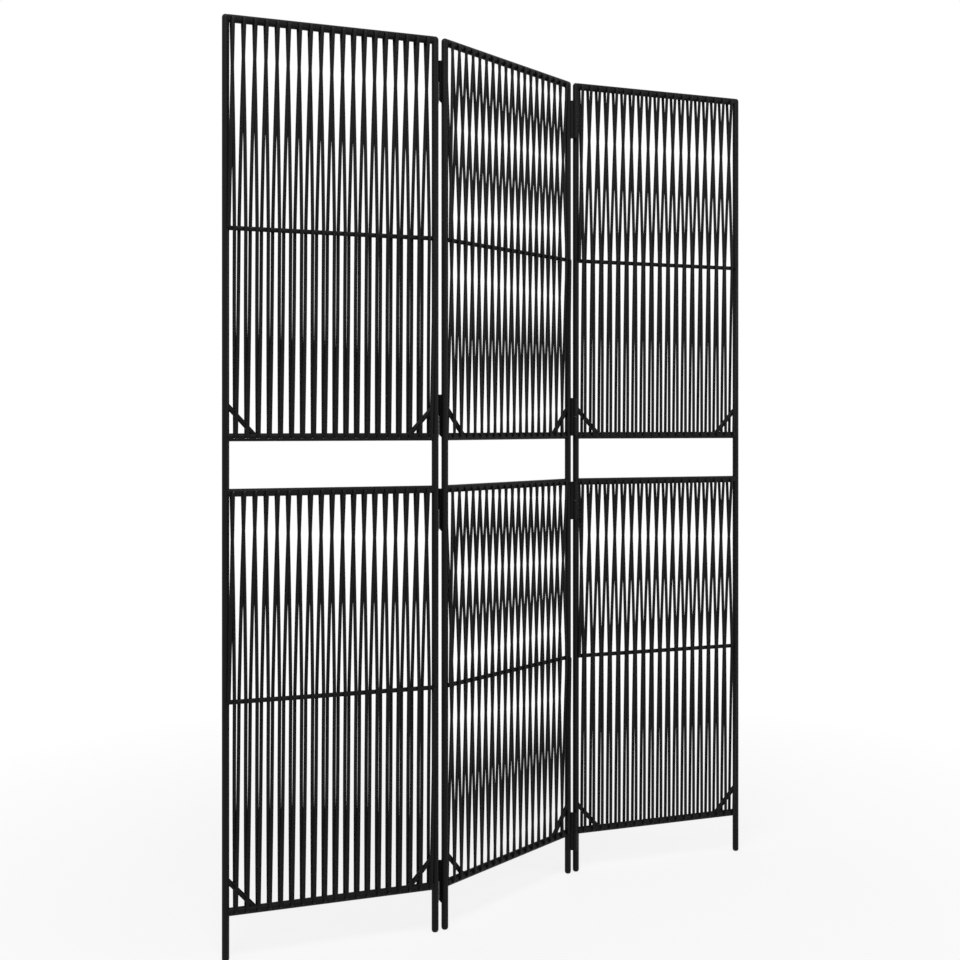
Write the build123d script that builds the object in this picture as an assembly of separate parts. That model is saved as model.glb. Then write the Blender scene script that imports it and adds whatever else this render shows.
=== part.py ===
from build123d import *
import math
import os

# Folding screen of three framed panels, in millimetres, standing on the floor in its open zigzag.
# X runs along the left and right panels, Y points away from the viewer and Z is up.
# The origin lies on the floor under the middle of the middle panel.

# Overall layout
height = 1800.0  # floor to the top of the posts
post_spacing = 417.0  # between the centres of a panel's two posts
panel_gap = 2.0  # between neighbouring posts when the screen is pulled straight
fold_angle = 30.0  # turn from one panel to the next as the screen stands
leg_height = 85.0  # floor to the underside of the lowest rail
window_height = 90.0  # open band between the two woven fields of a panel

# Frame tubes and rods
post_diameter = 14.0
post_wall = 1.2
rail_diameter = 15.5
rail_depth = 14.2  # across the flats pressed on a rail's front and back, where it is slotted
rail_reach = 3.5  # from the axis of a post to the end of a rail coped round it
rod_diameter = 9.0  # bar across the middle of each field
brace_diameter = 10.0
brace_rise = 64.0  # up the post from the axis of the rail
brace_run = 58.0  # along the rail from the axis of the post
tube_sides = 16  # flats that stand for a round tube
rod_sides = 12  # flats that stand for a slender round rod

# Flat oval strand of woven cane, one length for each field
strand_width = 6.7
strand_thickness = 4.6
strand_gap = 0.4  # clear of the rail in its slot and of the rod that it bends round
strand_bow = 3.35  # from a rail's flat to the strand's middle, where it turns into the slot
slot_spacing = 21.42
first_top_slot = 12.6  # from the axis of the left post
first_bottom_slot = 18.6
slot_skew = 1.0  # sideways lean of the strand inside a slot, either way from its middle
end_web = 1.0  # least metal between the last slot and the post
tail_length = 5.0  # strand's end, from the axis of the rail towards the front

# Corners of the strand's section, in halves of its width and of its thickness
strand_outline = [(-1, 0), (-0.5, 1), (0.5, 1), (1, 0), (0.5, -1), (-0.5, -1)]

# Foot plugs
foot_thickness = 6.0  # domed part below the post
foot_flat = 7.0  # diameter of the flat that meets the floor
plug_depth = 18.0  # stem inside the post
plug_gap = 0.15

# Lift-off hinges, four on each fold
hinge_height = 86.0
hinge_offset = 15.0  # from the mid plane of a panel to the hinge pin
barrel_diameter = 9.0
barrel_gap = 0.4  # between the two halves of a barrel
leaf_thickness = 3.0
leaf_gap = 0.6  # between a leaf and the other leaf's half of the barrel
pin_diameter = 5.0
pin_gap = 0.2
pin_end_gap = 0.5  # between the pin and the closed head of the sleeve
barrel_end = 3.0  # closed end of each half
leaf_corner_rise = 10.0  # cut off the lower corner of the sleeve leaf, beside the barrel
leaf_corner_run = 4.6
top_hinge_drop = 44.0  # top of the highest hinge below the top of the posts
bottom_hinge_rise = 53.0  # foot of the lowest hinge above the floor
window_hinge_inset = 7.0  # from the open band to the hinge above it and the one below it

post_radius = post_diameter / 2
rail_radius = rail_diameter / 2
rod_radius = rod_diameter / 2
barrel_radius = barrel_diameter / 2
pivot_reach = post_radius + panel_gap / 2  # from a post's axis to the hinge pin, along the panel
field_height = (height - leg_height - window_height) / 2
slot_width = strand_width + 2 * (slot_skew + strand_gap)
slot_height = strand_thickness + 2 * strand_gap
rail_stand_off = rail_depth / 2 + strand_bow
rod_stand_off = rod_radius + strand_gap + strand_thickness / 2

# Heights of the rails' axes, of each field's lower and upper rail
fields = {
    "lower": (leg_height + rail_radius, leg_height + field_height - rail_radius),
    "upper": (height - field_height + rail_radius, height - rail_radius),
}


def bar(diameter, length, sides):
    """Round bar drawn with flats, upright from the origin, with a flat towards X."""
    return extrude(RegularPolygon(diameter / 2, sides, rotation=180 / sides), length)


def dome(diameter, flat, rise, sides):
    """Rounded end of a bar in two slopes, rising from the origin to a small flat."""
    middle = (diameter + flat) / 2 + (diameter - flat) / 5
    steps = [(0, diameter), (rise * 0.55, middle), (rise, flat)]
    rings = [
        Pos(0, 0, z) * RegularPolygon(d / 2, sides, rotation=180 / sides) for z, d in steps
    ]
    return loft(rings, ruled=True)


def level_bar(diameter, length, sides):
    """The same bar lying along X, centred on the origin."""
    return Pos(-length / 2, 0, 0) * Rot(0, 90, 0) * bar(diameter, length, sides)


def only_solid(shape):
    """Largest solid of a cut, without the offcuts beyond the posts."""
    return max(shape.solids(), key=lambda solid: solid.volume)


def post_outside():
    """Outer form of a post: a tube with a rounded top, standing on its foot plug."""
    straight = height - post_radius - foot_thickness
    tube = Pos(0, 0, foot_thickness) * bar(post_diameter, straight, tube_sides)
    top = dome(post_diameter, post_diameter * 0.35, post_radius, tube_sides)
    return tube + Pos(0, 0, height - post_radius) * top


def post():
    bore = post_diameter - 2 * post_wall
    bore_length = height - post_radius - post_wall - foot_thickness
    return post_outside() - Pos(0, 0, foot_thickness) * bar(bore, bore_length, rod_sides)


def foot_plug():
    """Glide with a stem in the post and a domed foot cut flat where it meets the floor."""
    stem_diameter = post_diameter - 2 * (post_wall + plug_gap)
    stem = Pos(0, 0, foot_thickness) * bar(stem_diameter, plug_depth, rod_sides)
    foot = Rot(180, 0, 0) * dome(post_diameter, foot_flat, foot_thickness, tube_sides)
    return Pos(0, 0, foot_thickness) * foot + stem


def on_posts(piece):
    """The same piece at the left post and at the right post of a panel."""
    return [Pos(side * post_spacing / 2, 0, 0) * piece for side in (-1, 1)]


def slot_places(first):
    """Slots along a rail, measured from the middle of the panel."""
    room = post_spacing - first_bottom_slot - slot_width / 2 - post_radius - end_web
    count = int(room // slot_spacing) + 1
    return [first + slot_spacing * i - post_spacing / 2 for i in range(count)]


top_slots = slot_places(first_top_slot)
bottom_slots = slot_places(first_bottom_slot)


def rail_tube(length):
    """Rail without its slots, lying along X: round, with a flat on its front and back."""
    section = RegularPolygon(rail_radius, tube_sides) & Rectangle(rail_diameter, rail_depth)
    return extrude(Plane.YZ * Rot(0, 0, 90) * section, length / 2, both=True)


def rail(level, slots):
    """Tube between the posts, with a slot right through it for each turn of the strand."""
    cutters = [Pos(x, 0, 0) * Box(slot_width, 2 * rail_depth, slot_height) for x in slots]
    slotted = rail_tube(post_spacing - 2 * rail_reach) - cutters
    return only_solid(Pos(0, 0, level) * slotted - on_posts(post_outside()))


def mid_rod(level):
    whole = Pos(0, 0, level) * level_bar(rod_diameter, post_spacing, rod_sides)
    return only_solid(whole - on_posts(post_outside()))


def brace(side, level):
    """Rod across a lower corner of a field, cut to the post and to the rail."""
    reach = math.hypot(brace_rise, brace_run)
    lean = math.degrees(math.atan2(brace_rise, brace_run))
    slanted = Rot(0, lean, 0) * level_bar(brace_diameter, 1.5 * reach, rod_sides)
    corner = post_spacing / 2
    middle = Pos(brace_run / 2 - corner, 0, level + brace_rise / 2) * slanted
    rod = middle if side < 0 else mirror(middle, Plane.YZ)
    rod -= Pos(side * corner, 0, 0) * post_outside()
    rod -= Pos(0, 0, level) * rail_tube(2 * post_spacing)
    middle_x = side * (corner - brace_run / 2)
    return min(rod.solids(), key=lambda solid: abs(solid.center().X - middle_x))


def strand_route(bottom, top):
    """Corners of one strand: down behind the rails, through a slot and up in front of them.

    Going down it passes in front of the mid rod, and going up behind it.
    """
    middle = (bottom + top) / 2
    lean = slot_skew * tail_length / rail_stand_off
    route = [(top_slots[0] - lean, -tail_length, top)]
    for i, (upper, lower) in enumerate(zip(top_slots, bottom_slots)):
        route.append((upper + slot_skew, rail_stand_off, top))
        route.append(((upper + lower) / 2, -rod_stand_off, middle))
        route.append((lower - slot_skew, rail_stand_off, bottom))
        if i + 1 < len(top_slots):
            following = top_slots[i + 1]
            route.append((lower + slot_skew, -rail_stand_off, bottom))
            route.append(((lower + following) / 2, rod_stand_off, middle))
            route.append((following - slot_skew, -rail_stand_off, top))
    route.append((bottom_slots[-1] + lean, -tail_length, bottom))
    return [Vector(*point) for point in route]


def strand_section(point, before, after):
    """Flattened six-sided section, mitred between the run before the point and the run after."""
    across = Vector(1, 0, 0)
    face_before = across.cross(before).normalized()
    face_after = across.cross(after).normalized()
    mitre = (face_before + face_after) / (1 + face_before.dot(face_after))
    outline = [
        point + across * (u * strand_width / 2) + mitre * (v * strand_thickness / 2)
        for u, v in strand_outline
    ]
    return Face(Wire.make_polygon(outline))


def strand(bottom, top):
    """One unbroken strand that fills a field."""
    route = strand_route(bottom, top)
    runs = [(end - start).normalized() for start, end in zip(route, route[1:])]
    runs = [runs[0]] + runs + [runs[-1]]
    sections = [strand_section(p, a, b) for p, a, b in zip(route, runs, runs[1:])]
    return loft(sections, ruled=True)


def gap_of_sections(across, deep):
    """Clear space between two level sections of the strand whose middles lie so far apart."""
    middle = Vector(abs(across), abs(deep))
    doubled = [Vector(u * strand_width, v * strand_thickness) for u, v in strand_outline]
    distances = []
    for start, end in zip(doubled, doubled[1:] + doubled[:1]):
        edge = end - start
        share = max(0.0, min(1.0, (middle - start).dot(edge) / edge.dot(edge)))
        distances.append((middle - start - edge * share).length)
    return min(distances)


def least_strand_gap(bottom, top):
    """Least clear space between two runs of a strand, measured on points at many levels."""
    route = strand_route(bottom, top)
    levels = 200
    least = math.inf
    for step in range(levels):
        level = bottom + (top - bottom) * (step + 0.5) / levels
        crossings = []
        for start, end in zip(route, route[1:]):
            if (start.Z - level) * (end.Z - level) < 0:
                crossings.append(start + (end - start) * ((level - start.Z) / (end.Z - start.Z)))
        for one, other in zip(crossings, crossings[1:]):
            least = min(least, gap_of_sections(one.X - other.X, one.Y - other.Y))
    return least


def hinge_feet():
    """Height of the foot of each hinge, from the lowest to the highest."""
    window_foot = leg_height + field_height
    return [
        bottom_hinge_rise,
        window_foot - window_hinge_inset - hinge_height,
        window_foot + window_height + window_hinge_inset,
        height - top_hinge_drop - hinge_height,
    ]


leaf_reach = math.hypot(pivot_reach, hinge_offset)  # from the pin to the axis of the post
half_barrel = (hinge_height - barrel_gap) / 2
pin_line = post_spacing / 2 + pivot_reach  # from the middle of a panel to its hinge pins


def leaf(is_sleeve):
    """Leaf as tall as the hinge with its half of the barrel, pin along Z and post along X.

    The pin leaf holds the lower half, and the sleeve leaf the upper half.
    """
    upright = (Align.CENTER, Align.CENTER, Align.MIN)
    plate_align = (Align.MIN, Align.CENTER, Align.MIN)
    own_foot = half_barrel + barrel_gap if is_sleeve else 0
    other_foot = 0 if is_sleeve else half_barrel + barrel_gap
    plate = Box(leaf_reach, leaf_thickness, hinge_height, align=plate_align)
    room_width = 2 * (barrel_radius + leaf_gap)
    room = Box(room_width, room_width, half_barrel + 2 * barrel_gap, align=upright)
    plate -= Pos(0, 0, other_foot - barrel_gap) * room
    if is_sleeve:
        near = barrel_radius + leaf_gap
        corners = [(near, 0), (near + leaf_corner_run, 0), (near, leaf_corner_rise)]
        wedge = Plane.XZ * make_face(Polyline(*corners, close=True))
        plate -= extrude(wedge, leaf_thickness, both=True)
    knuckle = Pos(0, 0, own_foot) * bar(barrel_diameter, half_barrel, rod_sides)
    bore_foot = own_foot if is_sleeve else barrel_end
    bore = bar(pin_diameter + 2 * pin_gap, half_barrel - barrel_end, rod_sides)
    return plate + knuckle - Pos(0, 0, bore_foot) * bore


def hinge_pin():
    length = hinge_height - 2 * barrel_end - pin_end_gap
    return Pos(0, 0, barrel_end) * bar(pin_diameter, length, rod_sides)


def leaves(post_side, pin_side, is_sleeve):
    """The leaves on one post of a panel: post_side is -1 left or 1 right, pin_side 1 at the back."""
    towards_post = math.degrees(math.atan2(-pin_side * hinge_offset, -post_side * pivot_reach))
    one_leaf = Rot(0, 0, towards_post) * leaf(is_sleeve)
    tube = Pos(post_side * post_spacing / 2, 0, 0) * bar(post_diameter, height, tube_sides)
    pins = Pos(post_side * pin_line, pin_side * hinge_offset, 0)
    return [only_solid(pins * Pos(0, 0, foot) * one_leaf - tube) for foot in hinge_feet()]


def pins_of_fold(post_side, pin_side):
    pins = Pos(post_side * pin_line, pin_side * hinge_offset, 0)
    return [pins * Pos(0, 0, foot) * hinge_pin() for foot in hinge_feet()]


def panel_pieces():
    """Pieces that every panel has, by name, with the panel's middle over the origin."""
    posts = on_posts(post())
    pieces = {"left_post": [posts[0]], "right_post": [posts[1]], "foot_plugs": on_posts(foot_plug())}
    for field, (bottom, top) in fields.items():
        pieces[field + "_field_bottom_rail"] = [rail(bottom, bottom_slots)]
        pieces[field + "_field_top_rail"] = [rail(top, top_slots)]
        pieces[field + "_field_mid_rod"] = [mid_rod((bottom + top) / 2)]
        pieces[field + "_field_braces"] = [brace(side, bottom) for side in (-1, 1)]
        pieces[field + "_field_strand"] = [strand(bottom, top)]
    return pieces


def panel_places():
    """Place of each panel: the middle one turned by the fold, the others hung on its pins."""
    middle = Rot(0, 0, fold_angle)
    back_pin = (middle * Pos(-pin_line, hinge_offset, 0)).position
    front_pin = (middle * Pos(pin_line, -hinge_offset, 0)).position
    left = Pos(back_pin) * Pos(-pin_line, -hinge_offset, 0)
    right = Pos(front_pin) * Pos(pin_line, hinge_offset, 0)
    return {"left": left, "middle": middle, "right": right}


def write(name, solids, place):
    placed = [place * solid for solid in solids]
    shape = placed[0] if len(placed) == 1 else Compound(children=placed)
    export_step(shape, "parts/" + name + ".step")


os.makedirs("parts", exist_ok=True)
places = panel_places()
common = panel_pieces()
for panel, place in places.items():
    for name, solids in common.items():
        write(panel + "_panel_" + name, solids, place)

# The left fold turns on pins behind the screen, and the right fold on pins before it.
write("left_fold_hinge_pin_leaves", leaves(1, 1, False), places["left"])
write("left_fold_hinge_sleeve_leaves", leaves(-1, 1, True), places["middle"])
write("left_fold_hinge_pins", pins_of_fold(1, 1), places["left"])
write("right_fold_hinge_pin_leaves", leaves(1, -1, False), places["middle"])
write("right_fold_hinge_sleeve_leaves", leaves(-1, -1, True), places["right"])
write("right_fold_hinge_pins", pins_of_fold(1, -1), places["middle"])

print("slots in each rail:", len(top_slots))
print("least gap of a strand to itself:", round(least_strand_gap(*fields["upper"]), 2), "mm")
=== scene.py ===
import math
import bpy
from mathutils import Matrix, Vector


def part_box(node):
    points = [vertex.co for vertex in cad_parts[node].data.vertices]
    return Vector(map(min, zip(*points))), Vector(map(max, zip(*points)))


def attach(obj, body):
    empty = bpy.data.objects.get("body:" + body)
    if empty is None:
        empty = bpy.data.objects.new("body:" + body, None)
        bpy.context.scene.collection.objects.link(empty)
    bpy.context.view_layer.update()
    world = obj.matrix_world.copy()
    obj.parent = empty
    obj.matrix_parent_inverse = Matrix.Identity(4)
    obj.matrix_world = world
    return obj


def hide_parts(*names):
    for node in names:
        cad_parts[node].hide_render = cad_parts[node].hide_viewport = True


bl_info = {
    "name": "Laced folding screen",
    "version": (1, 0, 0),
    "blender": (4, 5, 0),
    "location": "View3D > Sidebar > Screen",
    "description": "Dresses a folding screen of tube-framed panels laced with black cane strand",
    "category": "Object",
}

import bmesh
import bpy
import numpy as np

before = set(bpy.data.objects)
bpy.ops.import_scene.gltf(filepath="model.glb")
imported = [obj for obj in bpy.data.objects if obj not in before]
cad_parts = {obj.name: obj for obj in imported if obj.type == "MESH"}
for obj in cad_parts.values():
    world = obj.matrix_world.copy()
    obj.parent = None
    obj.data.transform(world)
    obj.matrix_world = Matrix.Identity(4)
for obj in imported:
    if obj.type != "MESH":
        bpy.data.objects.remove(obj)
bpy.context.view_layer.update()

PANELS = ("left", "middle", "right")
FIELDS = ("lower", "upper")
MM = 0.001


def middle_of(node):
    """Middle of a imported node's box, as an array."""
    low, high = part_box(node)
    return (np.array(low) + np.array(high)) / 2


def axis_of_post(panel, side):
    return middle_of(f"{panel}_panel_{side}_post")[:2]


def level_of(panel, field, piece):
    return float(middle_of(f"{panel}_panel_{field}_field_{piece}")[2])


WELD = 0.2 * MM  # how far a welded end sinks in
LEAF_WELD = 0.4 * MM  # how far a leaf sinks into its post
STEM_GAP = 0.15 * MM  # round a foot's stem
BEND_STEPS = 7  # points of the strand on a bend
RUN_STEPS = 7  # points of the strand between two bends
ROD_BEND = 60 * MM  # radius of the strand's bend at a mid rod
END_BEND = 2.5 * MM  # radius of the bends at the strand's ends
TWIST = math.radians(3)  # spread of the twist of a long run
LOWER_BOW = 0.7  # share of the side bow in the lower half of a field
SAME_LEVEL = 10 * MM  # heights nearer than this are one level

SPACING = float(np.linalg.norm(axis_of_post("left", "right") - axis_of_post("left", "left")))
HEIGHT = float(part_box("left_panel_left_post")[1][2])


def size_prop(name, description, millimetres):
    """A size of the settings, given in millimetres."""
    return bpy.props.FloatProperty(
        name=name, description=description, default=millimetres * MM, unit="LENGTH")


class ScreenSizes(bpy.types.PropertyGroup):
    """Sizes of the frame, the strand and the hinges."""

    spacing: bpy.props.FloatProperty(
        name="Post spacing", description="Between the axes of a panel's posts", default=SPACING,
        unit="LENGTH")
    height: bpy.props.FloatProperty(
        name="Height", description="Floor to the top of the posts", default=HEIGHT, unit="LENGTH")
    post: size_prop("Post", "Diameter of a post", 14)
    wall: size_prop("Wall", "Wall of a post", 1.2)
    rail: size_prop("Rail", "Diameter of a rail", 15.5)
    rail_depth: size_prop("Rail depth", "Across the pressed flats of a rail", 14.2)
    rail_reach: size_prop("Rail reach", "From a post's axis to the end of a rail", 3.5)
    rod: size_prop("Mid rod", "Diameter of the bar across a field", 9)
    brace: size_prop("Brace", "Diameter of a corner brace", 10)
    brace_rise: size_prop("Brace rise", "Up the post from the rail's axis", 64)
    brace_run: size_prop("Brace run", "Along the rail from the post's axis", 58)
    foot_rise: size_prop("Foot", "Height of the domed foot", 6)
    foot_flat: size_prop("Foot flat", "Diameter of the flat on the floor", 7)
    stem_rise: size_prop("Stem", "Length of the plug inside the post", 18)
    strand_width: size_prop("Strand width", "Width of the flat oval strand", 7)
    strand_thickness: size_prop("Strand thickness", "Thickness of the strand", 4.6)
    strand_bow: size_prop("Strand bow", "From a rail's flat to the strand's middle", 2.7)
    strand_gap: size_prop("Strand gap", "Clear of a slot and of the mid rod", 0.4)
    slot_spacing: size_prop("Slot spacing", "Between neighbouring slots of a rail", 21.5)
    slot_width: size_prop("Slot width", "Along the rail", 8.4)
    slot_height: size_prop("Slot height", "Height of a slot", 4.8)
    top_skew: size_prop("Top skew", "Sideways lean of the strand in a top slot", 0.5)
    side_bow: size_prop("Side bow", "How far two runs push each other aside where they cross", 0.95)
    first_top_slot: size_prop("First top slot", "From the left post's axis", 12.7)
    first_bottom_slot: size_prop("First bottom slot", "From the left post's axis", 18.7)
    slots: bpy.props.IntProperty(name="Slots", description="Slots in each rail", default=19, min=2)
    hinge_height: size_prop("Hinge height", "Height of a hinge", 86)
    hinge_offset: size_prop("Hinge offset", "From a panel's mid plane to the pin", 15)
    pivot_reach: size_prop("Pivot reach", "From a post's axis to the pin, along the panel", 8)
    barrel: size_prop("Barrel", "Diameter of a hinge barrel", 9)
    barrel_gap: size_prop("Barrel gap", "Between the halves of a barrel", 0.4)
    barrel_bore: size_prop("Barrel bore", "Diameter of the bore round the pin", 5.4)
    barrel_end: size_prop("Barrel end", "Closed end of each half", 3)
    leaf: size_prop("Leaf", "Thickness of a leaf", 3)
    leaf_gap: size_prop("Leaf gap", "Between a leaf and the other barrel half", 0.6)
    corner_rise: size_prop("Corner rise", "Cut off the sleeve leaf's corner", 5)
    corner_run: size_prop("Corner run", "Cut off the sleeve leaf's corner", 4.6)
    top_hinge_drop: size_prop("Top hinge drop", "Top hinge below the post's top", 44)
    bottom_hinge_rise: size_prop("Bottom hinge rise", "Lowest hinge above the floor", 53)
    window_inset: size_prop("Window inset", "From the open band to its hinges", 7)


class ScreenColours(bpy.types.PropertyGroup):
    """Colours, as sRGB hex values."""

    paint: bpy.props.StringProperty(name="Paint", description="Powder coat on the steel", default="#131314")
    cane: bpy.props.StringProperty(name="Cane", description="Synthetic cane strand", default="#141413")
    foot: bpy.props.StringProperty(name="Foot", description="Moulded foot plugs", default="#131313")
    zinc: bpy.props.StringProperty(name="Zinc", description="Plated hinge pins", default="#a7a9ab")
    floor: bpy.props.StringProperty(name="Floor", description="Plain floor", default="#f1f1f0")


def linear(colour):
    """Linear RGBA of an sRGB hex value."""
    parts = [int(colour[i:i + 2], 16) / 255 for i in (1, 3, 5)]
    return [p / 12.92 if p <= 0.04045 else ((p + 0.055) / 1.055) ** 2.4 for p in parts] + [1.0]


def per_metre(millimetres):
    """Texture scale for features of that size on coordinates in metres."""
    return 1000.0 / millimetres


def add_node(tree, kind, inputs=None, **settings):
    """A new node with its settings, and each input either set or linked."""
    node = tree.nodes.new(kind)
    for name, value in settings.items():
        setattr(node, name, value)
    for socket, value in (inputs or {}).items():
        if isinstance(value, bpy.types.NodeSocket):
            tree.links.new(value, node.inputs[socket])
        else:
            node.inputs[socket].default_value = value
    return node


def new_material(name):
    material = bpy.data.materials.new(name)
    material.use_nodes = True
    material.node_tree.nodes.clear()
    return material, material.node_tree


def spread(tree, pattern, low, high):
    """A number that runs from low to high with a pattern."""
    return add_node(tree, "ShaderNodeMapRange", {
        "Value": pattern, "From Min": 0.3, "From Max": 0.7, "To Min": low, "To Max": high}).outputs["Result"]


def shaded(tree, pattern, colour, depth):
    """The colour, varied with a pattern by that share either way."""
    base = np.array(linear(colour))
    stops = [[*(base[:3] * (1 + sign * depth)), 1.0] for sign in (-1, 1)]
    mix = add_node(tree, "ShaderNodeMix", {0: pattern}, data_type="RGBA")
    mix.inputs[6].default_value = stops[0]
    mix.inputs[7].default_value = stops[1]
    return mix.outputs[2]


def powder_coated_steel(colour):
    """Mild steel tube, powder coated and baked: a satin skin with a fine orange peel."""
    material, tree = new_material("powder_coated_steel")
    place = add_node(tree, "ShaderNodeTexCoord").outputs["Object"]
    # Real peel is about 0.6 mm; drawn at 1.6 mm so that it shows.
    peel = add_node(tree, "ShaderNodeTexNoise", {"Vector": place, "Scale": per_metre(1.6), "Detail": 2.0})
    handling = add_node(tree, "ShaderNodeTexNoise", {"Vector": place, "Scale": per_metre(45), "Detail": 3.0})
    bump = add_node(tree, "ShaderNodeBump", {
        "Height": peel.outputs[0], "Strength": 0.25, "Distance": 0.00012})
    surface = add_node(tree, "ShaderNodeBsdfPrincipled", {
        "Base Color": shaded(tree, handling.outputs[0], colour, 0.22),
        "Roughness": spread(tree, handling.outputs[0], 0.32, 0.44),
        "Specular IOR Level": 0.1, "IOR": 1.5, "Normal": bump.outputs[0]})
    add_node(tree, "ShaderNodeOutputMaterial", {"Surface": surface.outputs[0]})
    return material


def extruded_cane(colour):
    """Extruded polyethylene cane: solid black, with fine lengthwise drawing lines and a soft sheen."""
    material, tree = new_material("extruded_polyethylene_cane")
    place = add_node(tree, "ShaderNodeUVMap", uv_map="strand").outputs[0]
    # Drawing lines 0.7 mm wide and about 60 mm long, along the strand.
    along = add_node(tree, "ShaderNodeMapping", {
        "Vector": place, "Scale": (per_metre(0.7), per_metre(60), 1.0)})
    lines = add_node(tree, "ShaderNodeTexNoise", {
        "Vector": along.outputs[0], "Scale": 1.0, "Detail": 3.0}, noise_dimensions="2D")
    patches = add_node(tree, "ShaderNodeMapping", {
        "Vector": place, "Scale": (per_metre(9), per_metre(35), 1.0)})
    tone = add_node(tree, "ShaderNodeTexNoise", {
        "Vector": patches.outputs[0], "Scale": 1.0, "Detail": 2.0}, noise_dimensions="2D")
    bump = add_node(tree, "ShaderNodeBump", {
        "Height": lines.outputs[0], "Strength": 0.5, "Distance": 0.00025})
    surface = add_node(tree, "ShaderNodeBsdfPrincipled", {
        "Base Color": shaded(tree, tone.outputs[0], colour, 0.3),
        "Roughness": spread(tree, lines.outputs[0], 0.38, 0.54),
        "Specular IOR Level": 0.09, "IOR": 1.51, "Normal": bump.outputs[0]})
    add_node(tree, "ShaderNodeOutputMaterial", {"Surface": surface.outputs[0]})
    return material


def moulded_polyethylene(colour):
    """Injection-moulded polyethylene: dull, with the fine grain of a spark-eroded mould."""
    material, tree = new_material("moulded_polyethylene")
    place = add_node(tree, "ShaderNodeTexCoord").outputs["Object"]
    grain = add_node(tree, "ShaderNodeTexNoise", {"Vector": place, "Scale": per_metre(0.8), "Detail": 3.0})
    bump = add_node(tree, "ShaderNodeBump", {
        "Height": grain.outputs[0], "Strength": 0.4, "Distance": 0.0001})
    surface = add_node(tree, "ShaderNodeBsdfPrincipled", {
        "Base Color": shaded(tree, grain.outputs[0], colour, 0.15),
        "Roughness": spread(tree, grain.outputs[0], 0.5, 0.65),
        "Specular IOR Level": 0.12, "IOR": 1.51, "Normal": bump.outputs[0]})
    add_node(tree, "ShaderNodeOutputMaterial", {"Surface": surface.outputs[0]})
    return material


def zinc_plated_steel(colour):
    """Turned steel with bright zinc: fine rings round the pin from the lathe."""
    material, tree = new_material("zinc_plated_steel")
    place = add_node(tree, "ShaderNodeTexCoord").outputs["Object"]
    squeezed = add_node(tree, "ShaderNodeMapping", {
        "Vector": place, "Scale": (per_metre(20), per_metre(20), per_metre(0.5))})
    rings = add_node(tree, "ShaderNodeTexNoise", {"Vector": squeezed.outputs[0], "Scale": 1.0, "Detail": 2.0})
    bump = add_node(tree, "ShaderNodeBump", {
        "Height": rings.outputs[0], "Strength": 0.3, "Distance": 0.00005})
    surface = add_node(tree, "ShaderNodeBsdfPrincipled", {
        "Base Color": shaded(tree, rings.outputs[0], colour, 0.08), "Metallic": 1.0,
        "Roughness": spread(tree, rings.outputs[0], 0.26, 0.38), "Normal": bump.outputs[0]})
    add_node(tree, "ShaderNodeOutputMaterial", {"Surface": surface.outputs[0]})
    return material


MAKERS = {
    "paint": powder_coated_steel,
    "cane": extruded_cane,
    "foot": moulded_polyethylene,
    "zinc": zinc_plated_steel,
}
finishes = {}


def finish_named(name):
    """The material of that name, made on its first use from the colour in the settings."""
    if name not in finishes:
        finishes[name] = MAKERS[name](getattr(bpy.context.scene.screen_colours, name))
    return finishes[name]


def grid_faces(rows, columns):
    """Quads of a grid whose columns close on themselves."""
    row, column = np.meshgrid(np.arange(rows - 1), np.arange(columns), indexing="ij")
    beside = (column + 1) % columns
    corners = [row * columns + column, row * columns + beside,
               (row + 1) * columns + beside, (row + 1) * columns + column]
    return np.stack(corners, axis=-1).reshape(-1, 4)


def turned(profile, sides=48):
    """Surface of revolution about Z: a profile of (radius, height) turned round in equal steps.

    The profile starts and ends on the axis.
    """
    radius, height = np.array(profile, dtype=float).T
    angle = np.arange(sides) * math.tau / sides
    ring = np.stack([
        np.outer(radius[1:-1], np.cos(angle)),
        np.outer(radius[1:-1], np.sin(angle)),
        np.repeat(height[1:-1, None], sides, axis=1)], axis=-1).reshape(-1, 3)
    points = np.vstack([[[0, 0, height[0]]], ring, [[0, 0, height[-1]]]])
    step = np.arange(sides)
    beside = (step + 1) % sides
    last = len(points) - 1
    start = last - sides
    first_fan = np.stack([np.zeros(sides, int), step + 1, beside + 1], axis=-1)
    last_fan = np.stack([np.full(sides, last), start + beside, start + step], axis=-1)
    quads = grid_faces(len(radius) - 2, sides) + 1
    return points, quads.tolist() + first_fan.tolist() + last_fan.tolist()


def round_ring(radius, half_count=16):
    """Section of a round bar, upper half first: (depth, height) at equal angles, none at mid height."""
    angle = (np.arange(half_count) + 0.5) * math.pi / half_count
    upper = np.stack([np.cos(angle), np.sin(angle)], axis=-1) * radius
    return np.vstack([upper, upper[::-1] * [1, -1]])


def pressed_ring(radius, half_depth, slot_half_height, arc_count=11):
    """Section of a rail: a circle cut flat in front and behind, with points at the slots' edges."""
    edge = math.asin(slot_half_height / radius)
    corner = math.acos(half_depth / radius)
    angle = np.concatenate([[edge], np.linspace(corner, math.pi - corner, arc_count), [math.pi - edge]])
    depth = np.clip(radius * np.cos(angle), -half_depth, half_depth)
    upper = np.stack([depth, radius * np.sin(angle)], axis=-1)
    return np.vstack([upper, upper[::-1] * [1, -1]])


def cap_faces(first, count):
    """Quads that close a section: each column joins an upper point to the one below it."""
    column = np.arange(count // 2 - 1)
    corners = [column, column + 1, count - 2 - column, count - 1 - column]
    return (np.stack(corners, axis=-1) + first).tolist()


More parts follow.
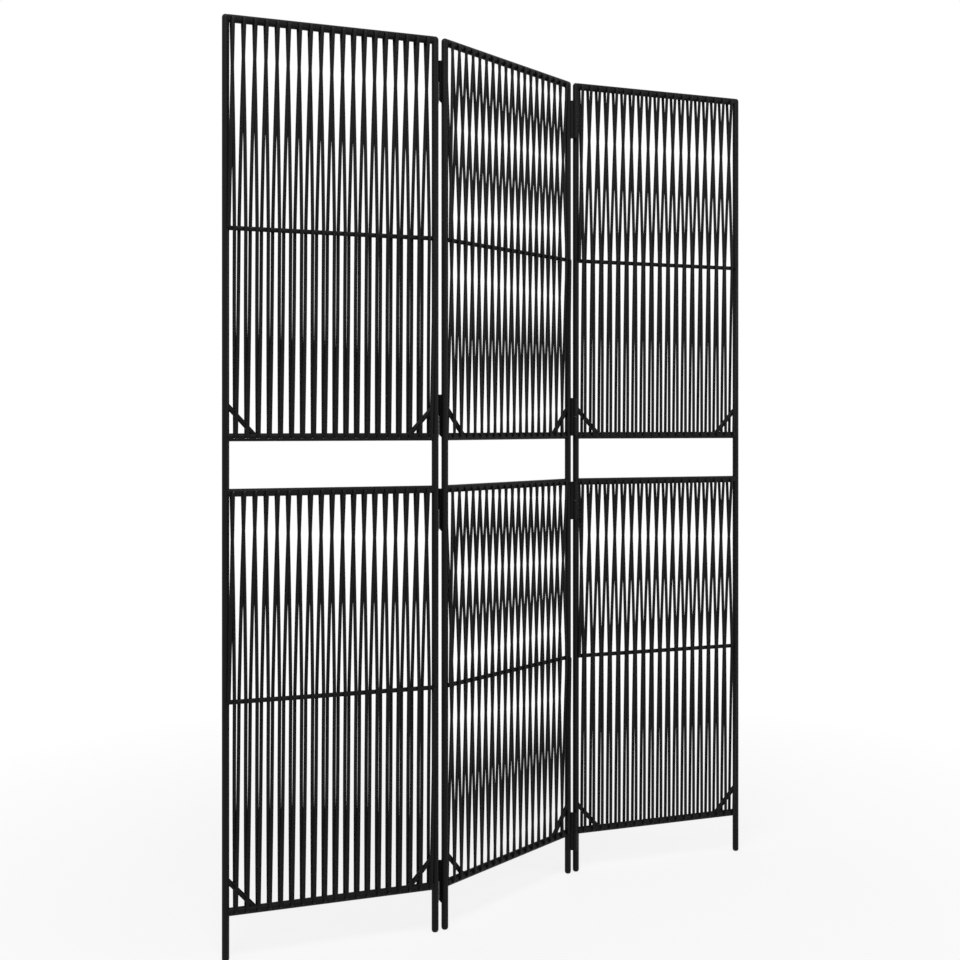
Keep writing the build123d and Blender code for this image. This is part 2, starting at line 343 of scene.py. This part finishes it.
def fitted_bar(ring, start, end, slots=()):
    """Bar along X: the ring (depth, height) runs from start to end, which may differ all round it.

    A slot (low, high) goes right through from front to back, between the ring's middle edges.
    """
    count = len(ring)
    half = count // 2
    levels = [np.broadcast_to(x, count) for slot in slots for x in slot]
    along = np.stack([start, *levels, end])
    points = np.stack([
        along,
        np.broadcast_to(ring[:, 0], along.shape),
        np.broadcast_to(ring[:, 1], along.shape)], axis=-1).reshape(-1, 3)
    quads = grid_faces(len(along), count).reshape(len(along) - 1, count, 4)
    kept = np.ones(quads.shape[:2], bool)
    kept[1:-1:2, [half - 1, count - 1]] = False
    faces = quads[kept].tolist() + cap_faces(0, count) + cap_faces((len(along) - 1) * count, count)
    near = np.arange(len(slots)) * 2 + 1
    low, high = near * count, (near + 1) * count
    walls = [
        [low + half - 1, high + half - 1, high, low],
        [low + half, high + half, high + count - 1, low + count - 1],
        [low + half - 1, low + half, low + count - 1, low],
        [high + half - 1, high + half, high + count - 1, high],
    ]
    for wall in walls:
        faces += np.stack(wall, axis=-1).tolist()
    return points, faces


def rounded_route(corners, radii, steps, spans):
    """Points and directions along a bent line: an arc of its radius at each corner, straight between.

    An arc's radius vector turns at an even rate from the first tangent point to the second.
    """
    runs = np.diff(corners, axis=0)
    runs /= np.linalg.norm(runs, axis=1)[:, None]
    before, after = runs[:-1], runs[1:]
    turn = np.arccos(np.clip((before * after).sum(axis=1), -1, 1))[:, None]
    reach = radii[:, None] * np.tan(turn / 2)
    begin, finish = corners[1:-1] - before * reach, corners[1:-1] + after * reach
    inward = after - before
    inward /= np.linalg.norm(inward, axis=1)[:, None]
    centre = corners[1:-1] + inward * radii[:, None] / np.cos(turn / 2)
    share = np.linspace(0, 1, steps)[None, :, None]
    angle = turn[:, :, None]
    first, second = (begin - centre)[:, None, :], (finish - centre)[:, None, :]
    arc = (np.sin((1 - share) * angle) * first + np.sin(share * angle) * second) / np.sin(angle)
    heading = np.cos(share * angle) * second - np.cos((1 - share) * angle) * first
    following = np.vstack([begin[1:], corners[-1:]])
    part = (np.arange(1, spans + 1) / (spans + 1))[None, :, None]
    straight = finish[:, None, :] * (1 - part) + following[:, None, :] * part
    points = np.concatenate([centre[:, None, :] + arc, straight], axis=1).reshape(-1, 3)
    along = np.broadcast_to(after[:, None, :], straight.shape)
    headings = np.concatenate([heading, along], axis=1).reshape(-1, 3)
    points = np.vstack([corners[:1], points, corners[-1:]])
    headings = np.vstack([runs[:1], headings, runs[-1:]])
    return points, headings / np.linalg.norm(headings, axis=1)[:, None]


def flat_oval(width, thickness, count=16):
    """Section between an ellipse and a rectangle: cosine and sine, each to the power 0.8."""
    angle = np.arange(count) * math.tau / count
    across = np.sign(np.cos(angle)) * np.abs(np.cos(angle)) ** 0.8
    deep = np.sign(np.sin(angle)) * np.abs(np.sin(angle)) ** 0.8
    return np.stack([across * width / 2, deep * thickness / 2], axis=-1)


def joined(parts):
    """Several meshes as one list of points and one list of faces."""
    points = []
    faces = []
    total = 0
    for part_points, part_faces in parts:
        points.append(part_points)
        faces += [[index + total for index in face] for face in part_faces]
        total += len(part_points)
    return np.vstack(points), faces


def panel_turn(panel):
    """Middle of a panel on the floor and the turn of its line of posts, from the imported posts."""
    left, right = axis_of_post(panel, "left"), axis_of_post(panel, "right")
    run = right - left
    return (left + right) / 2, math.atan2(run[1], run[0])


def rotated(points, angle):
    """Points turned about the Z axis."""
    cos, sin = math.cos(angle), math.sin(angle)
    return points @ np.array([[cos, sin, 0], [-sin, cos, 0], [0, 0, 1]])


def placed(points, panel):
    """Points from a panel's own place, with its middle over the origin, to where it stands."""
    middle, angle = panel_turn(panel)
    return rotated(points, angle) + [middle[0], middle[1], 0]


def make_piece(name, points, faces, finish, body, node, crease=40, bevel=0.0, map_points=None):
    """A finished mesh in its place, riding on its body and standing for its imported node."""
    mesh = bpy.data.meshes.new(name)
    mesh.from_pydata(points.tolist(), [], faces)
    if map_points is not None:
        layer = mesh.uv_layers.new(name="strand")
        layer.data.foreach_set("uv", map_points.astype(np.float32).ravel())
    work = bmesh.new()
    work.from_mesh(mesh)
    bmesh.ops.recalc_face_normals(work, faces=work.faces)
    work.to_mesh(mesh)
    work.free()
    mesh.shade_smooth()
    mesh.set_sharp_from_angle(angle=math.radians(crease))
    mesh.materials.append(finish_named(finish))
    piece = bpy.data.objects.new(name, mesh)
    bpy.context.scene.collection.objects.link(piece)
    if bevel:
        softened = piece.modifiers.new("softened_edges", "BEVEL")
        softened.width = bevel
        softened.segments = 2
        softened.limit_method = "ANGLE"
        softened.angle_limit = math.radians(50)
    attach(piece, body)
    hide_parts(node)
    return piece


def slot_middles(sizes, first):
    """Places of the slots along a rail, from the middle of the panel."""
    return first - sizes.spacing / 2 + sizes.slot_spacing * np.arange(sizes.slots)


def to_post(sizes, depth):
    """From a post's axis to its surface at a depth beside it, less a little for the weld."""
    return np.sqrt(np.maximum((sizes.post / 2) ** 2 - depth ** 2, 0)) - WELD


class SCREEN_OT_posts(bpy.types.Operator):
    """Make the posts: tubes closed by a dome at the top"""

    bl_idname = "screen.posts"
    bl_label = "Posts"

    def execute(self, context):
        sizes = context.scene.screen_sizes
        outer = sizes.post / 2
        inner = outer - sizes.wall
        spring = sizes.height - outer
        rise = np.linspace(0, math.pi / 2, 10)
        outside = np.stack([outer * np.cos(rise), spring + outer * np.sin(rise)], axis=-1)
        inside = np.stack([inner * np.cos(rise), spring + inner * np.sin(rise)], axis=-1)
        outside[-1, 0] = inside[-1, 0] = 0
        foot = sizes.foot_rise
        profile = np.vstack([outside[::-1], [[outer, foot], [inner, foot]], inside])
        tube, faces = turned(profile, 64)
        for panel in PANELS:
            for side, word in ((-1, "left"), (1, "right")):
                node = f"{panel}_panel_{word}_post"
                points = placed(tube + [side * sizes.spacing / 2, 0, 0], panel)
                make_piece(node + "_tube", points, faces, "paint", panel + "_panel", node)
        return {"FINISHED"}


class SCREEN_OT_feet(bpy.types.Operator):
    """Make the foot plugs: a domed foot with a flat on the floor and a stem in the post"""

    bl_idname = "screen.feet"
    bl_label = "Feet"

    def execute(self, context):
        sizes = context.scene.screen_sizes
        outer = sizes.post / 2
        stem = outer - sizes.wall - STEM_GAP
        turn = np.linspace(0, math.pi / 2, 9)
        # Quarter of an ellipse from the flat's edge up to the post's width.
        flat = sizes.foot_flat / 2
        side = np.stack([flat + (outer - flat) * np.sin(turn), sizes.foot_rise * (1 - np.cos(turn))], axis=-1)
        top = sizes.foot_rise + sizes.stem_rise
        profile = np.vstack([[[0, 0]], side, [[stem, sizes.foot_rise], [stem, top], [0, top]]])
        for panel in PANELS:
            parts = []
            for post_side in (-1, 1):
                points, faces = turned(profile, 64)
                parts.append((points + [post_side * sizes.spacing / 2, 0, 0], faces))
            points, faces = joined(parts)
            node = panel + "_panel_foot_plugs"
            make_piece(node + "_moulded", placed(points, panel), faces, "foot", panel + "_panel", node)
        return {"FINISHED"}


class SCREEN_OT_rails(bpy.types.Operator):
    """Make the slotted rails, coped round the posts"""

    bl_idname = "screen.rails"
    bl_label = "Rails"

    def execute(self, context):
        sizes = context.scene.screen_sizes
        radius = sizes.rail / 2
        ring = pressed_ring(radius, sizes.rail_depth / 2, sizes.slot_height / 2)
        dome_foot = sizes.height - sizes.post / 2
        for panel in PANELS:
            for field in FIELDS:
                for piece in ("bottom_rail", "top_rail"):
                    first = sizes.first_bottom_slot if piece == "bottom_rail" else sizes.first_top_slot
                    level = level_of(panel, field, piece)
                    # The post narrows in its dome, where the highest rail follows it.
                    over = np.maximum(level + ring[:, 1] - dome_foot, 0)
                    across = np.hypot(ring[:, 0], over)
                    reach = np.maximum(to_post(sizes, across), sizes.rail_reach)
                    end = sizes.spacing / 2 - reach
                    middles = slot_middles(sizes, first)
                    slots = [(x - sizes.slot_width / 2, x + sizes.slot_width / 2) for x in middles]
                    points, faces = fitted_bar(ring, -end, end, slots)
                    node = f"{panel}_panel_{field}_field_{piece}"
                    make_piece(node + "_tube", placed(points + [0, 0, level], panel), faces, "paint",
                               panel + "_panel", node, bevel=0.25 * MM)
        return {"FINISHED"}


class SCREEN_OT_rods(bpy.types.Operator):
    """Make the rod across the middle of each field"""

    bl_idname = "screen.rods"
    bl_label = "Mid rods"

    def execute(self, context):
        sizes = context.scene.screen_sizes
        ring = round_ring(sizes.rod / 2)
        end = sizes.spacing / 2 - to_post(sizes, ring[:, 0])
        points, faces = fitted_bar(ring, -end, end)
        for panel in PANELS:
            for field in FIELDS:
                node = f"{panel}_panel_{field}_field_mid_rod"
                level = level_of(panel, field, "mid_rod")
                make_piece(node + "_bar", placed(points + [0, 0, level], panel), faces, "paint",
                           panel + "_panel", node)
        return {"FINISHED"}


class SCREEN_OT_braces(bpy.types.Operator):
    """Make the slanted braces in the lower corners of each field"""

    bl_idname = "screen.braces"
    bl_label = "Braces"

    def execute(self, context):
        sizes = context.scene.screen_sizes
        ring = round_ring(sizes.brace / 2)
        depth, lift = ring[:, 0], ring[:, 1]
        lean = math.atan2(sizes.brace_rise, sizes.brace_run)
        cos, sin = math.cos(lean), math.sin(lean)
        to_rail = np.sqrt((sizes.rail / 2) ** 2 - depth ** 2) - WELD
        # Where each line of the rod meets the post's surface, and then the rail's.
        start = (to_post(sizes, depth) - sizes.brace_run / 2 - lift * sin) / cos
        end = (sizes.brace_rise / 2 + lift * cos - to_rail) / sin
        straight, faces = fitted_bar(ring, start, end)
        slanted = np.stack([
            straight[:, 0] * cos + straight[:, 2] * sin,
            straight[:, 1],
            straight[:, 2] * cos - straight[:, 0] * sin], axis=-1)
        slanted += [(sizes.brace_run - sizes.spacing) / 2, 0, sizes.brace_rise / 2]
        points, faces = joined([(slanted, faces), (slanted * [-1, 1, 1], faces)])
        for panel in PANELS:
            for field in FIELDS:
                node = f"{panel}_panel_{field}_field_braces"
                level = level_of(panel, field, "bottom_rail")
                make_piece(node + "_bars", placed(points + [0, 0, level], panel), faces, "paint",
                           panel + "_panel", node)
        return {"FINISHED"}


def strand_corners(sizes, bottom, top):
    """Corners of a strand, and how far each run bows aside after its corner.

    It starts at mid height in the front of the left post and rises to the first top slot. Then it goes
    down behind the rails and before the rod, and up before the rails and behind the rod. It ends at mid
    height in the front of the right post.
    """
    middle = (bottom + top) / 2
    off_rail = sizes.rail_depth / 2 + sizes.strand_bow
    off_rod = sizes.rod / 2 + sizes.strand_gap + sizes.strand_thickness / 2
    off_post = sizes.post / 2 + sizes.strand_thickness / 2 + sizes.strand_gap
    uppers = slot_middles(sizes, sizes.first_top_slot)
    lowers = slot_middles(sizes, sizes.first_bottom_slot)
    following = uppers + sizes.slot_spacing
    skew = sizes.top_skew
    # Six corners for each turn: three on the way down and three on the way up.
    across = np.stack([uppers - skew, (uppers + lowers) / 2, lowers,
                       lowers, (lowers + following) / 2, following + skew], axis=-1)
    depth = np.array([1, 0, 1, -1, 0, -1]) * off_rail + np.array([0, -1, 0, 0, 1, 0]) * off_rod
    height = np.array([top, middle, bottom, bottom, middle, top])
    turns = np.stack([across, np.broadcast_to(depth, across.shape),
                      np.broadcast_to(height, across.shape)], axis=-1).reshape(-1, 3)[:-3]
    start = (uppers[0] + lowers[0] - sizes.slot_spacing) / 2
    end = (lowers[-1] + following[-1]) / 2
    inside = sizes.post / 2 - sizes.wall
    first = [[start, -inside, middle], [start, -off_post, middle], [uppers[0] + skew, -off_rail, top]]
    last = [[lowers[-1], -off_rail, bottom], [end, -off_post, middle], [end, -inside, middle]]
    # A lower half bows less: its slots don't lean, so its runs are further apart where they cross.
    shares = np.tile([1, -LOWER_BOW, 0, LOWER_BOW, -1, 0], sizes.slots)[:-3]
    bows = np.concatenate([[0, 0], shares, [0, 0]]) * sizes.side_bow
    return np.vstack([first, turns, last]), bows


def strand_route(sizes, bottom, top):
    """Points and directions along a strand, the window of a run, and which runs are long.

    The window is 0 on a bend and rises to 1 in the middle of the run after it.
    """
    corners, bows = strand_corners(sizes, bottom, top)
    is_rod = np.abs(corners[1:-1, 2] - (bottom + top) / 2) < SAME_LEVEL
    radii = np.where(is_rod, ROD_BEND, sizes.strand_bow)
    radii[[0, -1]] = END_BEND
    route, heading = rounded_route(corners, radii, BEND_STEPS, RUN_STEPS)
    window = np.concatenate([
        np.zeros(BEND_STEPS), np.sin(np.arange(1, RUN_STEPS + 1) * math.pi / (RUN_STEPS + 1))])
    route[1:-1, 0] += np.outer(bows, window).ravel()
    is_long = np.abs(np.diff(corners[1:], axis=0)[:, 2]) >= SAME_LEVEL
    return route, heading, window, is_long


def strand_map(route, section):
    """Flat place of each face corner, in metres: round the section, and along the strand."""
    edges = np.linalg.norm(section - np.roll(section, 1, axis=0), axis=1)
    around = np.concatenate([[0], np.cumsum(np.roll(edges, -1))])
    length = np.concatenate([[0], np.cumsum(np.linalg.norm(np.diff(route, axis=0), axis=1))])
    row, column = np.meshgrid(np.arange(len(route) - 1), np.arange(len(section)), indexing="ij")
    rows = np.stack([row, row, row + 1, row + 1], axis=-1).ravel()
    columns = np.stack([column, column + 1, column + 1, column], axis=-1).ravel()
    sides = np.stack([around[columns], length[rows]], axis=-1)
    ends = np.tile(section, (2, 1))
    return np.vstack([sides, ends])


class SCREEN_OT_strands(bpy.types.Operator):
    """Lace one unbroken strand of flat oval cane through the rails of each field"""

    bl_idname = "screen.strands"
    bl_label = "Strands"

    def execute(self, context):
        sizes = context.scene.screen_sizes
        section = flat_oval(sizes.strand_width, sizes.strand_thickness)
        count = len(section)
        chance = np.random.default_rng(7)
        for panel in PANELS:
            for field in FIELDS:
                bottom, top = (level_of(panel, field, rail) for rail in ("bottom_rail", "top_rail"))
                route, heading, window, is_long = strand_route(sizes, bottom, top)
                side = np.broadcast_to([1.0, 0, 0], route.shape)
                face = np.cross(side, heading)
                face /= np.linalg.norm(face, axis=1)[:, None]
                # The strand twists by a few degrees on its long stretches, as laced by hand.
                amount = np.where(is_long, chance.normal(0, TWIST, len(is_long)), 0)
                twist = np.concatenate([[0], np.outer(amount, window).ravel(), [0]])[:, None]
                wide = side * np.cos(twist) + face * np.sin(twist)
                deep = face * np.cos(twist) - side * np.sin(twist)
                points = (route[:, None, :] + wide[:, None, :] * section[None, :, :1]
                          + deep[:, None, :] * section[None, :, 1:]).reshape(-1, 3)
                quads = grid_faces(len(route), count)
                ends = [list(range(count)), list(range(len(points) - count, len(points)))]
                node = f"{panel}_panel_{field}_field_strand"
                make_piece(node + "_cane", placed(points, panel), quads.tolist() + ends, "cane",
                           panel + "_panel", node, crease=60, map_points=strand_map(route, section))
        return {"FINISHED"}


def hinge_feet(sizes):
    """Height of the foot of each hinge: lowest, under the open band, over it, and highest."""
    below = level_of("left", "lower", "top_rail") + sizes.rail / 2
    above = level_of("left", "upper", "bottom_rail") - sizes.rail / 2
    return [
        sizes.bottom_hinge_rise,
        below - sizes.window_inset - sizes.hinge_height,
        above + sizes.window_inset,
        sizes.height - sizes.top_hinge_drop - sizes.hinge_height,
    ]


def plate(outline, thickness):
    """A flat plate: an outline of (reach, height) given its thickness across."""
    reach, height = np.array(outline, dtype=float).T
    count = len(reach)
    sides = [np.stack([reach, np.full(count, y), height], axis=-1) for y in (-thickness / 2, thickness / 2)]
    edge = np.arange(count)
    beside = (edge + 1) % count
    walls = np.stack([edge, beside, beside + count, edge + count], axis=-1)
    return np.vstack(sides), walls.tolist() + [list(range(count)), list(range(count, 2 * count))]


def leaf_parts(sizes, is_sleeve):
    """The plate and the half barrel of one leaf, with its pin along Z and its post along X."""
    half = (sizes.hinge_height - sizes.barrel_gap) / 2
    near = sizes.barrel / 2 + sizes.leaf_gap
    far = math.hypot(sizes.pivot_reach, sizes.hinge_offset) - sizes.post / 2 + LEAF_WELD
    top = sizes.hinge_height
    if is_sleeve:
        shelf = top - half
        outline = [(0, top), (0, shelf), (near, shelf), (near, sizes.corner_rise),
                   (near + sizes.corner_run, 0), (far, 0), (far, top)]
    else:
        outline = [(0, 0), (far, 0), (far, top), (near, top), (near, half), (0, half)]
    rim = 0.5 * MM
    radius, bore = sizes.barrel / 2, sizes.barrel_bore / 2
    profile = np.array([
        (0, 0), (radius - rim, 0), (radius, rim), (radius, half - rim / 2), (radius - rim / 2, half),
        (bore, half), (bore, sizes.barrel_end), (0, sizes.barrel_end)])
    if is_sleeve:
        profile[:, 1] = top - profile[:, 1]
    return joined([plate(outline, sizes.leaf), turned(profile, 40)])


class SCREEN_OT_hinges(bpy.types.Operator):
    """Make the leaves of the lift-off hinges, and finish their pins"""

    bl_idname = "screen.hinges"
    bl_label = "Hinges"

    def execute(self, context):
        sizes = context.scene.screen_sizes
        pin_line = sizes.spacing / 2 + sizes.pivot_reach
        # Fold, panel, post side, side of the pins (1 is behind), and whether the leaf has the sleeve.
        leaves = (
            ("left", "left", 1, 1, False), ("left", "middle", -1, 1, True),
            ("right", "middle", 1, -1, False), ("right", "right", -1, -1, True))
        for fold, panel, post_side, pin_side, is_sleeve in leaves:
            angle = math.atan2(-pin_side * sizes.hinge_offset, -post_side * sizes.pivot_reach)
            points, faces = leaf_parts(sizes, is_sleeve)
            leaf = rotated(points, angle) + [post_side * pin_line, pin_side * sizes.hinge_offset, 0]
            points, faces = joined([(leaf + [0, 0, foot], faces) for foot in hinge_feet(sizes)])
            node = f"{fold}_fold_hinge_{'sleeve' if is_sleeve else 'pin'}_leaves"
            make_piece(node + "_steel", placed(points, panel), faces, "paint", panel + "_panel", node,
                       bevel=0.3 * MM)
        for fold in ("left", "right"):
            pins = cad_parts[fold + "_fold_hinge_pins"]
            pins.data.materials.clear()
            pins.data.materials.append(finish_named("zinc"))
        return {"FINISHED"}


# The photograph's view: image width in pixels, focal length, eye height and the horizon's row.
IMAGE = 960
FOCAL_PIXELS = 1255.0
HORIZON_ROW = 425.4
EYE = (-0.9596, -2.5195, 1.018)
HEADING = math.radians(-19.484)
SENSOR = 36.0


def add_light(name, place, target, size, power):
    """A square soft light that faces a point."""
    data = bpy.data.lights.new(name, "AREA")
    data.shape = "SQUARE"
    data.size = size
    data.energy = power
    light = bpy.data.objects.new(name, data)
    bpy.context.scene.collection.objects.link(light)
    light.location = place
    towards = np.array(target) - np.array(place)
    flat = math.hypot(towards[0], towards[1])
    turn = math.atan2(towards[1], towards[0]) - math.pi / 2
    light.rotation_euler = (math.atan2(flat, -towards[2]), 0, turn)


def seen_directly(tree):
    """1 for rays from the camera, or after a gloss or a clear surface, and 0 for the rest."""
    path = add_node(tree, "ShaderNodeLightPath")
    first = add_node(tree, "ShaderNodeMath", {
        0: path.outputs["Is Camera Ray"], 1: path.outputs["Is Glossy Ray"]}, operation="MAXIMUM")
    both = add_node(tree, "ShaderNodeMath", {
        0: first.outputs[0], 1: path.outputs["Is Transmission Ray"]}, operation="MAXIMUM")
    return both.outputs[0]


class SCREEN_OT_stage(bpy.types.Operator):
    """Set up the plain floor, soft light, white surroundings and the photograph's camera"""

    bl_idname = "screen.stage"
    bl_label = "Stage"

    def execute(self, context):
        scene = context.scene
        scene.view_settings.view_transform = "Standard"
        camera_data = bpy.data.cameras.new("camera")
        camera_data.sensor_width = SENSOR
        camera_data.lens = FOCAL_PIXELS / IMAGE * SENSOR
        camera_data.shift_y = (HORIZON_ROW - IMAGE / 2) / IMAGE
        camera = bpy.data.objects.new("camera", camera_data)
        scene.collection.objects.link(camera)
        camera.location = EYE
        camera.rotation_euler = (math.pi / 2, 0, HEADING)
        scene.camera = camera

        world = bpy.data.worlds.new("white_room")
        scene.world = world
        world.use_nodes = True
        tree = world.node_tree
        tree.nodes.clear()
        soft = add_node(tree, "ShaderNodeBackground", {"Color": (1, 1, 1, 1), "Strength": 0.55})
        white = add_node(tree, "ShaderNodeBackground", {"Color": (1, 1, 1, 1), "Strength": 1.0})
        mixed = add_node(tree, "ShaderNodeMixShader", {
            0: seen_directly(tree), 1: soft.outputs[0], 2: white.outputs[0]})
        add_node(tree, "ShaderNodeOutputWorld", {"Surface": mixed.outputs[0]})

        add_light("overhead", (-0.9, -1.6, 3.4), (0, 0, 1.0), 1.2, 42)
        add_light("window_side", (2.4, -1.8, 1.8), (0, 0, 0.9), 1.8, 16)

        floor_mesh = bpy.data.meshes.new("floor")
        reach = 12.0
        floor_mesh.from_pydata(
            [(-reach, -reach, 0), (reach, -reach, 0), (reach, reach, 0), (-reach, reach, 0)],
            [], [(0, 1, 2, 3)])
        material, tree = new_material("plain_floor")
        place = add_node(tree, "ShaderNodeTexCoord").outputs["Object"]
        distance = add_node(tree, "ShaderNodeVectorMath", {0: place}, operation="LENGTH").outputs["Value"]
        # The floor fades into the white surroundings between 0.8 and 2 m from the screen's middle.
        fade = add_node(tree, "ShaderNodeMapRange", {
            "Value": distance, "From Min": 0.8, "From Max": 2.0, "To Min": 0.8, "To Max": 1.0})
        share = add_node(tree, "ShaderNodeMath", {
            0: fade.outputs["Result"], 1: seen_directly(tree)}, operation="MULTIPLY")
        matt = add_node(tree, "ShaderNodeBsdfDiffuse", {"Color": linear(scene.screen_colours.floor)})
        white = add_node(tree, "ShaderNodeEmission", {"Color": (1, 1, 1, 1), "Strength": 1.0})
        mixed = add_node(tree, "ShaderNodeMixShader", {
            0: share.outputs[0], 1: matt.outputs[0], 2: white.outputs[0]})
        add_node(tree, "ShaderNodeOutputMaterial", {"Surface": mixed.outputs[0]})
        floor_mesh.materials.append(material)
        floor = bpy.data.objects.new("floor", floor_mesh)
        scene.collection.objects.link(floor)
        return {"FINISHED"}


OPERATORS = (SCREEN_OT_stage, SCREEN_OT_posts, SCREEN_OT_feet, SCREEN_OT_rails, SCREEN_OT_rods,
             SCREEN_OT_braces, SCREEN_OT_strands, SCREEN_OT_hinges)


class SCREEN_PT_tools(bpy.types.Panel):
    """Lists the steps that dress the screen"""

    bl_idname = "SCREEN_PT_tools"
    bl_label = "Laced folding screen"
    bl_space_type = "VIEW_3D"
    bl_region_type = "UI"
    bl_category = "Screen"

    def draw(self, context):
        for settings in (context.scene.screen_sizes, context.scene.screen_colours):
            box = self.layout.box()
            for name in settings.__annotations__:
                box.prop(settings, name)
        for operator in OPERATORS:
            self.layout.operator(operator.bl_idname)


CLASSES = (ScreenSizes, ScreenColours, *OPERATORS, SCREEN_PT_tools)


def register():
    for entry in CLASSES:
        bpy.utils.register_class(entry)
    bpy.types.Scene.screen_sizes = bpy.props.PointerProperty(type=ScreenSizes)
    bpy.types.Scene.screen_colours = bpy.props.PointerProperty(type=ScreenColours)


def unregister():
    del bpy.types.Scene.screen_colours
    del bpy.types.Scene.screen_sizes
    for entry in reversed(CLASSES):
        bpy.utils.unregister_class(entry)


def main():
    """Make everything in order."""
    register()
    for operator in OPERATORS:
        group, name = operator.bl_idname.split(".")
        getattr(getattr(bpy.ops, group), name)()


if __name__ == "__main__":
    main()
